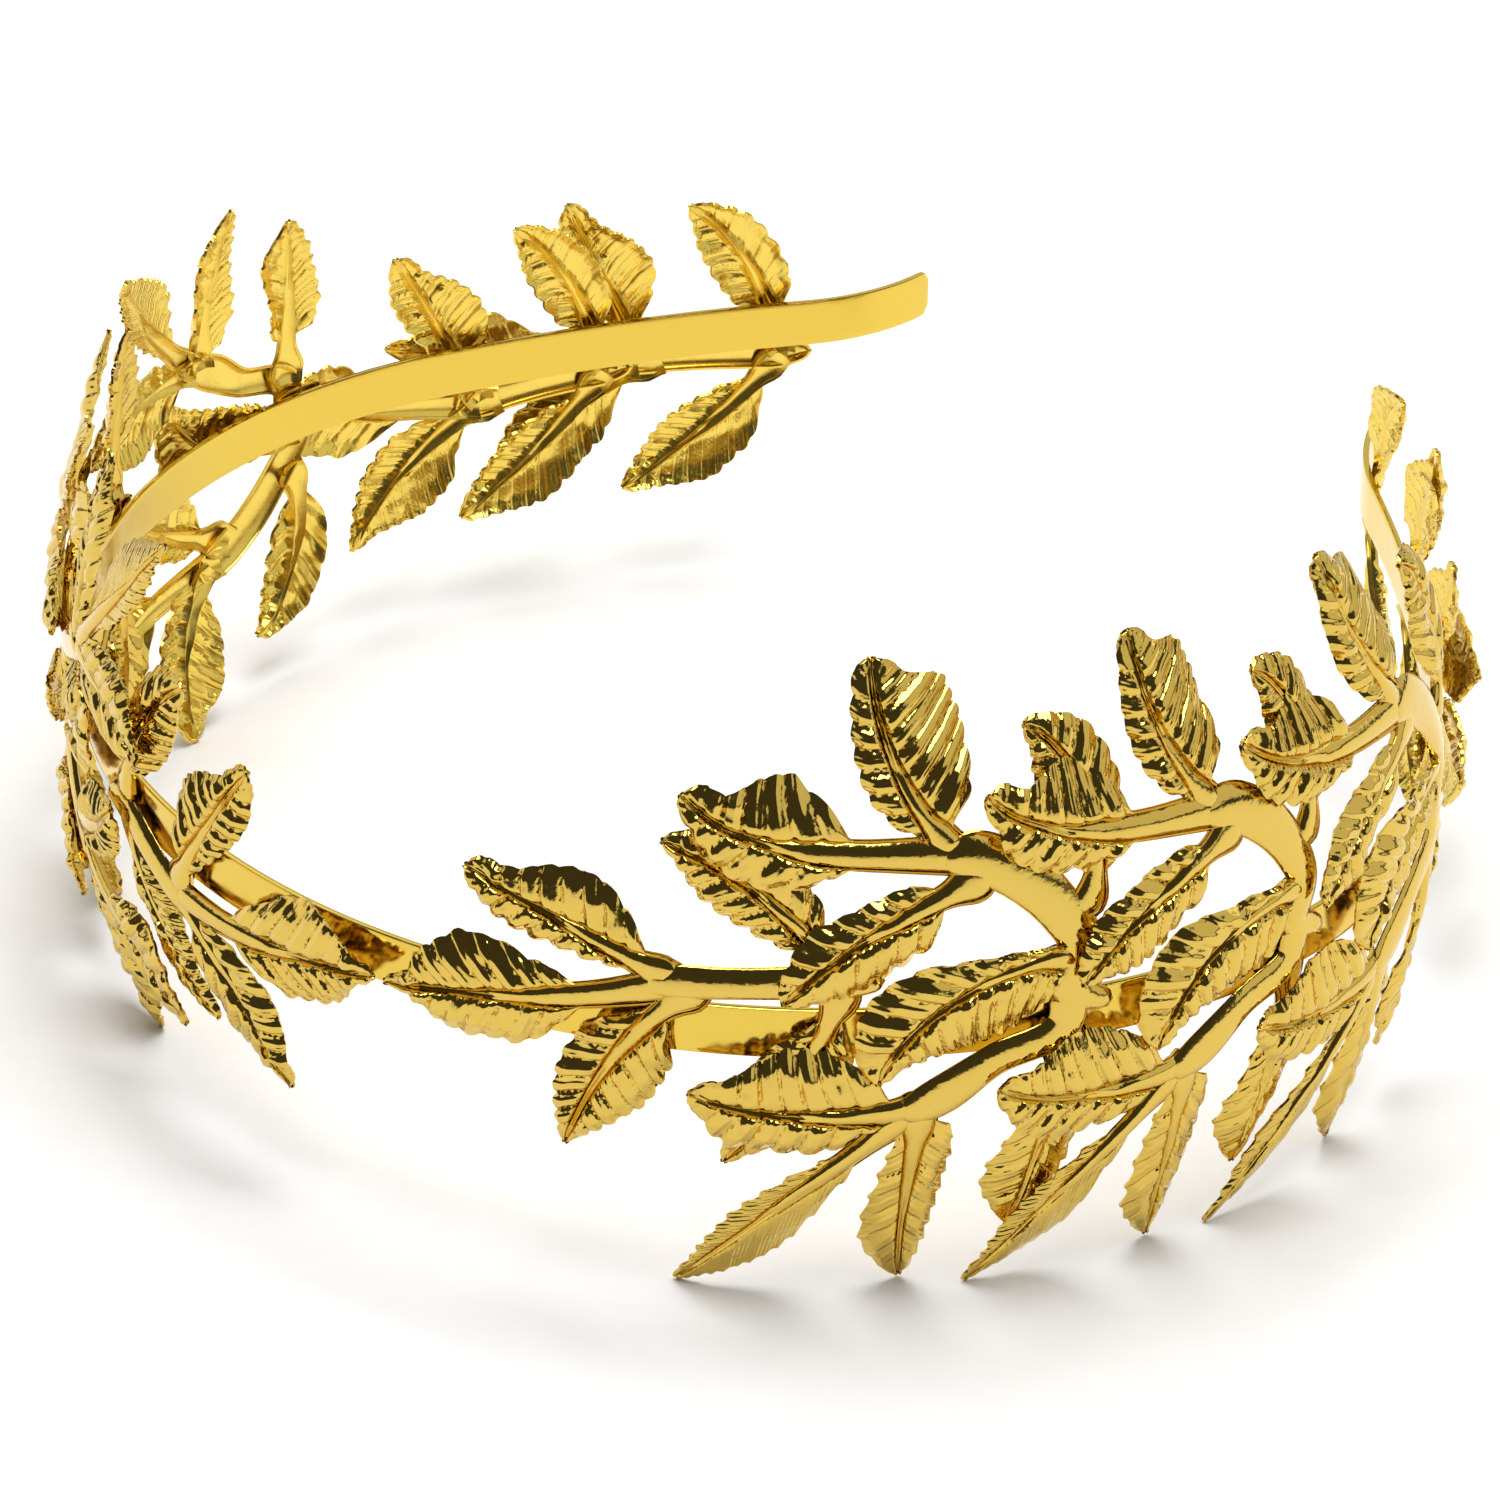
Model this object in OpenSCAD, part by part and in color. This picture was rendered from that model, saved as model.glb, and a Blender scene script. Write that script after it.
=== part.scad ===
// Laurel wreath crown: an open ring of flat strip that carries twelve stamped laurel sprigs,
// six on each arm. Each sprig laps over the one in front of it, like shingles.
// Lengths are in millimetres and angles in degrees. The front faces -Y and +Z is up.

/* [Band] */
// Height of the strip
band_height = 6; // [5:0.5:9]
// Thickness of the strip
band_thickness = 0.8; // [0.5:0.1:1.2]
// Radius of the corners at the strip's two free ends
end_corner = 1.2; // [0.5:0.1:2.4]

/* [Right arm of the ring] */
// Radius of the front of the right arm
right_front_radius = 84; // [76:1:92]
// Angle that the front of the right arm turns through
right_front_turn = 54; // [50:1:58]
// Radius of the side of the right arm
right_side_radius = 64; // [58:1:70]
// Angle that the side of the right arm turns through
right_side_turn = 64; // [60:1:68]
// Radius of the nearly straight stretch behind the right side
right_rear_radius = 240; // [180:5:300]
// Angle that the right arm's nearly straight stretch turns through
right_rear_turn = 13; // [10:1:16]
// Radius of the outward flare at the right free end
right_flare_radius = 35; // [26:1:48]
// Angle that the right flare turns back through
right_flare_turn = 28; // [16:1:36]

/* [Left arm of the ring] */
// Radius of the front of the left arm
left_front_radius = 83; // [76:1:90]
// Angle that the front of the left arm turns through
left_front_turn = 62; // [58:1:66]
// Radius of the side of the left arm
left_side_radius = 69; // [62:1:76]
// Angle that the side of the left arm turns through
left_side_turn = 60; // [56:1:64]
// Radius of the nearly straight stretch behind the left side
left_rear_radius = 200; // [150:5:260]
// Angle that the left arm's nearly straight stretch turns through
left_rear_turn = 14; // [11:1:17]
// Radius of the outward flare at the left free end
left_flare_radius = 27; // [20:1:40]
// Angle that the left flare turns back through
left_flare_turn = 38; // [20:1:45]

/* [Sprigs] */
// Upright radius that the sprigs lean in on, above and below the strip
dome_radius = 95; // [85:5:160]
// Gap between the strip's outer face and the backs of the sprigs
seat_gap = 0.15; // [0.1:0.05:0.3]
// Gap that a sprig keeps over the stem of the sprig in front of it
lap_gap = 0.6; // [0.5:0.05:1]
// Thickness of the pressed sheet at the leaves' edges
sheet = 0.45; // [0.35:0.05:0.5]
// Height of the midrib over the leaf's edges
rib_rise = 0.6; // [0.4:0.05:0.8]
// Height of the side veins' swell
vein_rise = 0.25; // [0.1:0.05:0.3]
// How far a leaf's tip curls away from the head
tip_curl = 0.5; // [0:0.05:0.6]
// Height of the stems
stem_rise = 1.1; // [0.9:0.05:1.4]
// Width of a stem's flat crest, as a share of its foot
stem_crest = 0.45; // [0.3:0.05:0.7]
// Width of a leaf's stalk
stalk_width = 2.6; // [2:0.1:3]

/* [Large sprig] */
// Length of the large sprig, forward from its first fork
large_length = 45; // [40:1:50]
// Height of the large sprig from its lowest tip to its highest
large_height = 75; // [66:1:84]
// Width of the large sprig's widest leaf
large_leaf_width = 13; // [11:0.5:14]
// Width of the large sprig's stem
large_stem_width = 4.6; // [4:0.1:5]

/* [Small sprig] */
// Distance between the small sprig's two forks
small_fork_step = 17.5; // [15:0.5:19]
// Length of the small sprig's end leaf with its stalk
small_leaf_length = 32.5; // [28:0.5:36]
// Width of the small sprig's end leaf
small_leaf_width = 11.5; // [10:0.5:12.5]
// Width of the small sprig's stem
small_stem_width = 4.1; // [3:0.1:4.6]
// Length of the stem's tail behind its first fork
small_tail = 4; // [2:0.5:5]

/* [Hidden] */
// How far a cutting shape reaches past what it cuts
past = 1;
// Angle that the strip turns through between two of its flats
strip_facet = 4.5;
// Number of sides of the low studs that the stems are hulled from
stud_sides = 5;

// Arcs of each arm from the front centre to the free end: radius, turn, side that it bends to
ARC_RADIUS = 0;
ARC_TURN = 1;
ARC_SIDE = 2;
RIGHT_ARCS = [
    [right_front_radius, right_front_turn, 1],
    [right_side_radius, right_side_turn, 1],
    [right_rear_radius, right_rear_turn, 1],
    [right_flare_radius, right_flare_turn, -1],
];
LEFT_ARCS = [
    [left_front_radius, left_front_turn, 1],
    [left_side_radius, left_side_turn, 1],
    [left_rear_radius, left_rear_turn, 1],
    [left_flare_radius, left_flare_turn, -1],
];

// Where each arc of an arm starts, and where the last one ends: x, y, heading, distance
// along the strip. Both arms are worked out on the right, and the left one is mirrored.
START_X = 0;
START_Y = 1;
START_HEADING = 2;
START_RUN = 3;
function arc_starts(arcs, i = 0, x = 0, y = 0, heading = 0, run = 0) =
    i == len(arcs) ? [[x, y, heading, run]] :
    let (
        radius = arcs[i][ARC_RADIUS],
        bend = arcs[i][ARC_SIDE],
        last = heading + bend * arcs[i][ARC_TURN]
    )
    concat([[x, y, heading, run]], arc_starts(
        arcs,
        i + 1,
        x + bend * radius * (sin(last) - sin(heading)),
        y - bend * radius * (cos(last) - cos(heading)),
        last,
        run + radius * arcs[i][ARC_TURN] * PI / 180
    ));
RIGHT_STARTS = arc_starts(RIGHT_ARCS);
LEFT_STARTS = arc_starts(LEFT_ARCS);

// The arcs, the starts, the end and the length of an arm: 1 is right, -1 left
function arcs_of(arm) = arm > 0 ? RIGHT_ARCS : LEFT_ARCS;
function starts_of(arm) = arm > 0 ? RIGHT_STARTS : LEFT_STARTS;
function arm_end(arm) = starts_of(arm)[len(arcs_of(arm))];
function arm_length(arm) = arm_end(arm)[START_RUN];

// Number of the arc that holds the distance s
function arc_at(starts, s, i = 0) =
    (i + 2 >= len(starts) || s <= starts[i + 1][START_RUN]) ? i : arc_at(starts, s, i + 1);

// Plan of an arm at the distance s: x, y, heading
function plan(arm, s) =
    let (
        i = arc_at(starts_of(arm), s),
        start = starts_of(arm)[i],
        bend = arcs_of(arm)[i][ARC_SIDE],
        radius = arcs_of(arm)[i][ARC_RADIUS],
        heading = start[START_HEADING],
        here = heading + bend * (s - start[START_RUN]) / radius * 180 / PI
    )
    [
        start[START_X] + bend * radius * (sin(here) - sin(heading)),
        start[START_Y] - bend * radius * (cos(here) - cos(heading)),
        here
    ];

// How far the sprigs lean in at the height z over the strip's middle
function lean_in(z) =
    let (beyond = max(0, abs(z) - band_height / 2))
    beyond * beyond / (2 * dome_radius);

// Point of an arm at the distance s and height z, out from the domed face by lift
function dome_point(arm, s, z, lift) =
    let (
        p = plan(arm, s),
        out = seat_gap + lift - lean_in(z)
    )
    [p[0] + out * sin(p[2]), p[1] - out * cos(p[2]), z];

// Leaves of the large sprig, in the sprig's own plane. u runs towards the crown's front as a
// share of large_length, v runs up as a share of large_height from the strip's middle.
// Columns: root u, root v, tip u, tip v, stalk as a share of large_length, blade width as a
// share of large_leaf_width, bow as a share of the leaf's length, share of tip_curl, share
// of stalk_width
LARGE_LEAVES = [
    [0.07, 0.165, 0.2, 0.46, 0.04, 0.8, 0.19, 0.4, 1],
    [0.37, 0.29, 0.56, 0.557, 0.06, 1, -0.03, 0, 1],
    [0.33, 0.285, 1.01, 0.38, 0.27, 0.98, -0.04, 0.8, 1.45],
    [0.36, 0.26, 0.75, 0.083, 0.11, 0.72, 0.12, 1, 1.1],
    [0.06, 0.105, 0.54, -0.045, 0.04, 0.86, 0.19, 1, 1.2],
    [0.46, -0.113, 0.97, -0.077, 0.07, 0.97, 0.03, 0.8, 1.4],
    [0.47, -0.12, 1, -0.445, 0.18, 0.64, -0.03, 0.4, 1.2],
    [0.44, -0.107, 0.45, -0.445, 0.07, 0.68, -0.03, 0, 1.1],
    [0.1, 0, 0.2, -0.347, 0.17, 0.69, 0, 0, 1.3],
];

// Stems of the large sprig. Columns: first u and v, then its width as a share of
// large_stem_width, last u and v, then its width
LARGE_STEMS = [
    [-0.02, 0.02, 0.43, 0.09, 0.053, 1],
    [0.09, 0.053, 1, 0.06, 0.107, 1.05],
    [0.06, 0.107, 1.05, 0.12, 0.18, 1.12],
    [0.12, 0.18, 1.12, 0.23, 0.25, 1.24],
    [0.23, 0.25, 1.24, 0.37, 0.287, 1.2],
    [0.09, 0.053, 1, 0.1, 0, 0.9],
    [0.1, 0, 0.9, 0.27, -0.043, 0.9],
    [0.27, -0.043, 0.9, 0.455, -0.113, 1],
];

// Leaves of the small sprig. Columns: fork that it grows from (0 the first, 1 the second),
// angle to the sprig's run, length and stalk as shares of small_leaf_length, blade width as
// a share of small_leaf_width, bow, share of tip_curl, share of the sprig's upper lean, share
// of stalk_width
SMALL_LEAVES = [
    [0, 50, 0.77, 0.18, 0.78, 0.05, 0.4, 0, 1],
    [0, -50, 0.81, 0.18, 0.78, -0.05, 0.4, 0, 1],
    [1, 50, 0.77, 0.15, 0.8, 0.02, 0.6, 1, 1.1],
    [1, -50, 0.77, 0.15, 0.8, -0.04, 0.6, 0, 1.1],
    [1, 0, 1, 0.37, 1, 0.02, 1, 0, 1.3],
];

// Stem of the small sprig from its tail to past its second fork. Columns: share of the way to
// the second fork, share of the tail's length behind the first, share of the way up to the
// second fork, share of small_stem_width
SMALL_STEM = [
    [0, 1, 0, 0.45],
    [0, 0, 0, 1],
    [0.25, 0, 0.17, 1],
    [0.5, 0, 0.44, 0.94],
    [0.75, 0, 0.73, 0.94],
    [1, 0, 1, 1],
    [1.2, 0, 1.1, 0.8],
];

// Sprigs, on each arm from the front. Columns: name, arm (1 right, -1 left), form (1 large,
// 0 small), place of the first fork as a share of its arm's length, height of that fork as a
// share of the strip's height, tilt, share of the sprig's drawn length, second fork's u and v
// from the first as shares of small_fork_step, lean of the upper leaf there, share of the
// sprig's drawn height (negative where it is turned upside down), how far its top leans back
// along the strip as a share of its height
NAME = 0;
ARM = 1;
LARGE = 2;
PLACE = 3;
HEIGHT = 4;
TILT = 5;
REACH = 6;
FORK_U = 7;
FORK_V = 8;
LEAN = 9;
RISE = 10;
SWAY = 11;
SPRIGS = [
    ["sprig_right_1", 1, 0, 0.225, 1.17, -12, 1, 1, -0.04, -15, 1, 0],
    ["sprig_right_2", 1, 1, 0.351, 0, 0, 1, 0, 0, 0, 1, 0],
    ["sprig_right_3", 1, 1, 0.477, 0, 0, 0.92, 0, 0, 0, 1, 0],
    ["sprig_right_4", 1, 1, 0.617, 0, 0, 0.95, 0, 0, 0, 1, 0],
    ["sprig_right_5", 1, 0, 0.855, -0.67, 10, 0.95, 0.97, -0.11, 2, 1, 0],
    ["sprig_right_6", 1, 0, 0.954, -0.75, 11, 1, 1.03, 0.03, 6, 1, 0],
    ["sprig_left_1", -1, 0, 0.201, -0.17, 8, 1, 0.74, -0.23, 0, 1, 0],
    ["sprig_left_2", -1, 1, 0.346, 0.7, 0, 0.97, 0, 0, 0, -0.9, 0.14],
    ["sprig_left_3", -1, 1, 0.48, 0.7, 0, 1, 0, 0, 0, -0.9, 0.14],
    ["sprig_left_4", -1, 1, 0.636, 0.7, 0, 0.97, 0, 0, 0, -0.9, 0.1],
    ["sprig_left_5", -1, 0, 0.808, -0.67, 10, 0.95, 0.97, -0.11, 2, 1, 0],
    ["sprig_left_6", -1, 0, 0.909, -0.75, 11, 1, 1.03, 0.03, 6, 1, 0],
];

// Distance of a sprig's first fork along its arm, the same for the sprig in front of it, and
// the rise per millimetre that carries a sprig over the stem of the one in front
function fork_run(sprig) = sprig[PLACE] * arm_length(sprig[ARM]);
function ahead_of(sprig, other) = other[ARM] == sprig[ARM] && other[PLACE] < sprig[PLACE];
function run_in_front(sprig) =
    max([0, for (other = SPRIGS) if (ahead_of(sprig, other)) fork_run(other)]);
function lap_slope(sprig) =
    (max(stem_rise, sheet + rib_rise) + lap_gap) / (fork_run(sprig) - run_in_front(sprig));

// Place on its arm of a sprig's own u, v and lift
function sprig_run(sprig, u, v) =
    abs(fork_run(sprig) - u * sprig[REACH] + v * sprig[RISE] * sprig[SWAY]);
function sprig_point(sprig, u, v, lift) =
    dome_point(
        sprig[ARM],
        sprig_run(sprig, u, v),
        sprig[HEIGHT] * band_height + v * sprig[RISE],
        lift + lap_slope(sprig) * max(0, u)
    );

// A leaf in millimetres: its root, its tip, its stalk, its width, its bow, its curl and the
// width of its stalk
ROOT = 0;
TIP = 1;
STALK = 2;
WIDTH = 3;
BOW = 4;
CURL = 5;
STALK_WIDTH = 6;
function large_leaf(row) =
    [
        [row[0] * large_length, row[1] * large_height],
        [row[2] * large_length, row[3] * large_height],
        row[4] * large_length,
        row[5] * large_leaf_width,
        row[6],
        row[7] * tip_curl,
        row[8] * stalk_width
    ];
function small_leaf(sprig, row) =
    let (
        root = row[0] * small_fork_step * [sprig[FORK_U], sprig[FORK_V]],
        angle = row[1] + sprig[TILT] + row[7] * sprig[LEAN]
    )
    [
        root,
        root + row[2] * small_leaf_length * [cos(angle), sin(angle)],
        row[3] * small_leaf_length,
        row[4] * small_leaf_width,
        row[5],
        row[6] * tip_curl,
        row[8] * stalk_width
    ];
function leaves_of(sprig) =
    sprig[LARGE] == 1 ? [for (row = LARGE_LEAVES) large_leaf(row)]
        : [for (row = SMALL_LEAVES) small_leaf(sprig, row)];

// Stretches of a sprig's stem, each as two knots of u, v and width in millimetres
function large_knot(u, v, width) = [u * large_length, v * large_height, width * large_stem_width];
function small_knot(sprig, row) =
    [
        row[0] * sprig[FORK_U] * small_fork_step - row[1] * small_tail,
        row[2] * sprig[FORK_V] * small_fork_step,
        row[3] * small_stem_width
    ];
function stems_of(sprig) =
    sprig[LARGE] == 1
        ? [for (row = LARGE_STEMS) [large_knot(row[0], row[1], row[2]), large_knot(row[3], row[4], row[5])]]
        : [for (i = [1 : len(SMALL_STEM) - 1])
            [small_knot(sprig, SMALL_STEM[i - 1]), small_knot(sprig, SMALL_STEM[i])]];

// Form of every leaf from its root to near its tip. Columns: share of the stalk's length,
// share of the blade's length, share of the stalk's half width, share of the blade's half
// width, share of the side veins' swell
LEAF_FORM = [
    [0, 0, 1, 0, 0],
    [1, 0, 0.9, 0.02, 0],
    [1, 0.15, 0, 0.7, 1],
    [1, 0.33, 0, 0.95, 0.2],
    [1, 0.53, 0, 1, 1],
    [1, 0.73, 0, 0.8, 0.2],
    [1, 0.9, 0, 0.42, 1],
];
// Points round one section of a leaf: share of the half width, share of the midrib's rise,
// share of the vein's swell, 1 on the face or 0 on the back
LEAF_SECTION = [
    [-1, 0, 0, 1],
    [-0.5, 0.45, 1, 1],
    [0, 1, 0, 1],
    [0.5, 0.45, 1, 1],
    [1, 0, 0, 1],
    [1, 0, 0, 0],
    [0, 0.7, 0, 0],
    [-1, 0, 0, 0],
];
ring = len(LEAF_SECTION);

// Middle line of a leaf in the sprig's plane at the share t from root to tip, and the
// direction square to it
function leaf_run(leaf) = leaf[TIP] - leaf[ROOT];
function to_left(run) = [-run[1], run[0]];
function leaf_line(leaf, t) =
    leaf[ROOT] + t * leaf_run(leaf) + leaf[BOW] * 4 * t * (1 - t) * to_left(leaf_run(leaf));
function leaf_side(leaf, t) =
    let (ahead = leaf_run(leaf) + leaf[BOW] * 4 * (1 - 2 * t) * to_left(leaf_run(leaf)))
    to_left(ahead) / norm(ahead);

// All points of one leaf: the sections in turn, and the tip last
function leaf_points(sprig, leaf) =
    let (stalk = leaf[STALK] / norm(leaf_run(leaf)))
    concat(
        [for (form = LEAF_FORM, spot = LEAF_SECTION)
            let (
                t = form[0] * stalk + form[1] * (1 - stalk),
                half = (form[2] * leaf[STALK_WIDTH] + form[3] * leaf[WIDTH]) / 2,
                flat = leaf_line(leaf, t) + leaf_side(leaf, t) * half * spot[0],
                crest = rib_rise * spot[1] + vein_rise * form[4] * spot[2],
                curl = leaf[CURL] * form[1] * form[1]
            )
            sprig_point(sprig, flat[0], flat[1], spot[3] * sheet + crest + curl)
        ],
        [sprig_point(sprig, leaf[TIP][0], leaf[TIP][1], sheet / 2 + leaf[CURL])]
    );

// Faces of one leaf: its root, its skin in triangles and its pointed tip
LEAF_FACES = concat(
    [[for (j = [0 : ring - 1]) j]],
    [for (i = [0 : len(LEAF_FORM) - 2], j = [0 : ring - 1], half = [0, 1])
        let (
            a = i * ring + j,
            b = i * ring + (j + 1) % ring
        )
        half == 0 ? [a, a + ring, b] : [b, a + ring, b + ring]
    ],
    [for (j = [0 : ring - 1])
        let (last = (len(LEAF_FORM) - 1) * ring)
        [last + j, len(LEAF_FORM) * ring, last + (j + 1) % ring]
    ]
);

// The faces of a turned sprig's leaves run the other way round
function turned(face) = [for (i = [len(face) - 1 : -1 : 0]) face[i]];
function leaf_faces(sprig) =
    sprig[RISE] > 0 ? LEAF_FACES : [for (face = LEAF_FACES) turned(face)];

module leaf(sprig, leaf) {
    polyhedron(points = leaf_points(sprig, leaf), faces = leaf_faces(sprig), convexity = 4);
}

// Low stud that stands on the sprig's back face, square to the strip
module stud(sprig, knot) {
    translate(sprig_point(sprig, knot[0], knot[1], 0))
        rotate([90, 0, plan(sprig[ARM], sprig_run(sprig, knot[0], knot[1]))[2]])
            cylinder(h = stem_rise, d1 = knot[2], d2 = knot[2] * stem_crest, $fn = stud_sides);
}

module stem(sprig, knots) {
    hull() {
        stud(sprig, knots[0]);
        stud(sprig, knots[1]);
    }
}

// Moves the crown so that its box is centred over the origin and its lowest tips are at z = 0
LEAF_CLOUD = [
    for (sprig = SPRIGS, leaf = leaves_of(sprig), p = leaf_points(sprig, leaf))
        [sprig[ARM] * p[0], p[1], p[2]]
];
crown_left = min([for (p = LEAF_CLOUD) p[0]]);
crown_right = max([for (p = LEAF_CLOUD) p[0]]);
crown_front = min([for (p = LEAF_CLOUD) p[1]]);
crown_back = max(arm_end(1)[START_Y], arm_end(-1)[START_Y]);
crown_foot = min([for (p = LEAF_CLOUD) p[2]]);

module stand() {
    translate([-(crown_left + crown_right) / 2, -(crown_front + crown_back) / 2, -crown_foot])
        children();
}

// Distances along an arm at which its strip bends, from the front centre to its free end
function strip_stops(arm) =
    concat(
        [for (i = [0 : len(arcs_of(arm)) - 1])
            let (
                flats = ceil(arcs_of(arm)[i][ARC_TURN] / strip_facet),
                from = starts_of(arm)[i][START_RUN],
                to = starts_of(arm)[i + 1][START_RUN]
            )
            for (k = [0 : flats - 1]) from + (to - from) * k / flats
        ],
        [arm_length(arm)]
    );

// Plan of one arm's strip along those stops, in from the outer line by depth
function strip_line(arm, depth) =
    [for (s = strip_stops(arm))
        let (p = plan(arm, s))
        [arm * (p[0] - depth * sin(p[2])), p[1] + depth * cos(p[2])]
    ];
function reversed(points) = [for (i = [len(points) - 1 : -1 : 1]) points[i]];

// What the rounded corners leave off the free end of an arm
module end_trim(arm) {
    last = arm_end(arm);
    corner = [end_corner + past, end_corner + past];
    translate([last[START_X], last[START_Y], 0])
        rotate([90, 0, last[START_HEADING]])
            linear_extrude(height = 4 * band_thickness, center = true)
                for (up = [-1, 1])
                    translate([-end_corner, up * (band_height / 2 - end_corner)])
                        difference() {
                            translate([0, up > 0 ? 0 : -end_corner - past])
                                square(corner);
                            circle(r = end_corner, $fn = 24);
                        }
}

module band() {
    color("goldenrod")
        stand()
            difference() {
                linear_extrude(height = band_height, center = true)
                    polygon(concat(
                        reversed(strip_line(-1, 0)),
                        strip_line(1, 0),
                        reversed(strip_line(1, band_thickness)),
                        strip_line(-1, band_thickness)
                    ));
                end_trim(1);
                mirror([1, 0, 0]) end_trim(-1);
            }
}

module sprig(sprig) {
    color("gold")
        stand()
            mirror([sprig[ARM] < 0 ? 1 : 0, 0, 0])
                union() {
                    for (leaf = leaves_of(sprig)) leaf(sprig, leaf);
                    for (knots = stems_of(sprig)) stem(sprig, knots);
                }
}

band();
for (sprig = SPRIGS) sprig(sprig);
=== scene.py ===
"""Looks of a laurel wreath crown: an open ring of gold strip with twelve pressed sprigs.

Lengths are in millimetres until they go into a mesh, and a mesh is in metres, in the frame of
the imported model. The crown's front faces -Y.
"""

import logging
import math
from dataclasses import dataclass
from enum import Enum
from functools import partial
from typing import Callable

import bpy
import numpy as np
from mathutils import Matrix, Vector

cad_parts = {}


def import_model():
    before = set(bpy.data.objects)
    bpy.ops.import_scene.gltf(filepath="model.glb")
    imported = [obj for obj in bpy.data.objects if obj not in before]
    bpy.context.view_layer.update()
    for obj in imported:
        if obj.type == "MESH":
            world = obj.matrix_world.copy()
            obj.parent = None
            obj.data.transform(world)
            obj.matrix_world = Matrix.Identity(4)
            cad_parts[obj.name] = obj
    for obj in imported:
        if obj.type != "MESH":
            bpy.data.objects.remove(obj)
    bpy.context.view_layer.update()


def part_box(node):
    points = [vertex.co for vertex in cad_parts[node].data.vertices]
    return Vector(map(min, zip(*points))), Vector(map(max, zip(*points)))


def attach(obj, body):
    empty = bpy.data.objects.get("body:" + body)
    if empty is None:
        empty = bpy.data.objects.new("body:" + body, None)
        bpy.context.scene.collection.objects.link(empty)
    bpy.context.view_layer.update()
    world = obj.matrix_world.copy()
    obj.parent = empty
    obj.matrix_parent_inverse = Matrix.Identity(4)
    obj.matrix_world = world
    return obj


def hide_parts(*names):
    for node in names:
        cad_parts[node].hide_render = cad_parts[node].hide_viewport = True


MM = 0.001
LOG = logging.getLogger("laurel_crown")

Array = np.ndarray
Thing = bpy.types.Object
Socket = bpy.types.NodeSocket
Pair = tuple[float, float]
Triple = tuple[float, float, float]
Table = tuple[Pair, ...]
Laid = tuple[Array, dict[str, Array]]
Shape = Callable[[Array, Array], Laid]


class Arm(Enum):
    """The two arms of the open ring, by the sign of their x."""

    RIGHT = 1
    LEFT = -1


RIGHT, LEFT = Arm
# The leaf dies, by where the leaf sits on its sprig.
Press = Enum("Press", "CREST FAN MIDDLE SIDE WIDE LOW SAW HANG END WING DROP")


def hermite(q: Array) -> tuple[Array, ...]:
    """Weights of a cubic's start, its slope there, its end and its slope there."""
    return 2 * q**3 - 3 * q**2 + 1, q**3 - 2 * q**2 + q, 3 * q**2 - 2 * q**3, q**3 - q**2


def table_at(table: Table, at: Array) -> Array:
    """Reads a table of places and values at given places, as a cubic through its pairs."""
    xs, ys = (np.array(column, float) for column in zip(*table))
    slopes = np.gradient(ys, xs)
    at = np.clip(at, xs[0], xs[-1])
    i = np.clip(np.searchsorted(xs, at, side="right") - 1, 0, len(xs) - 2)
    step = xs[i + 1] - xs[i]
    start, leave, end, arrive = hermite((at - xs[i]) / step)
    return (
        ys[i] * start + slopes[i] * step * leave
        + ys[i + 1] * end + slopes[i + 1] * step * arrive
    )


def ease(low: float, high: float, value: Array) -> Array:
    """Rises smoothly from 0 at low to 1 at high."""
    q = np.clip((value - low) / (high - low), 0, 1)
    return q * q * (3 - 2 * q)


@dataclass(frozen=True)
class Arc:
    """One arc of the strip's plan.

    Attributes:
        radius: Radius of the outer face.
        turn: Angle that it turns through, in degrees.
        bend: 1 where it bends to the inside of the ring, -1 where it flares out.
    """

    radius: float
    turn: float
    bend: int = 1


class StripPlan:
    """Plan of one arm of the ring, worked out on the right side from the front centre."""

    def __init__(self, arcs: tuple[Arc, ...]) -> None:
        """Chains the arcs end to end, from the front centre to the free end."""
        self.arcs = arcs
        x = y = heading = run = 0.0
        self.starts = [(x, y, heading, run)]
        for arc in arcs:
            last = heading + arc.bend * math.radians(arc.turn)
            x += arc.bend * arc.radius * (math.sin(last) - math.sin(heading))
            y -= arc.bend * arc.radius * (math.cos(last) - math.cos(heading))
            run += arc.radius * math.radians(arc.turn)
            heading = last
            self.starts.append((x, y, heading, run))

    @property
    def length(self) -> float:
        """Length of the arm along the strip."""
        return self.starts[-1][3]

    def at(self, run: Array) -> tuple[Array, Array, Array]:
        """Gives x, y and heading of the outer face at distances from the front centre."""
        x, y, here = (np.zeros_like(run) for _ in range(3))
        for arc, (x0, y0, heading, start) in zip(self.arcs, self.starts):
            on = run >= start
            turned = heading + arc.bend * (run - start) / arc.radius
            x = np.where(on, x0 + arc.bend * arc.radius * (np.sin(turned) - math.sin(heading)), x)
            y = np.where(on, y0 - arc.bend * arc.radius * (np.cos(turned) - math.cos(heading)), y)
            here = np.where(on, turned, here)
        return x, y, here


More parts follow.
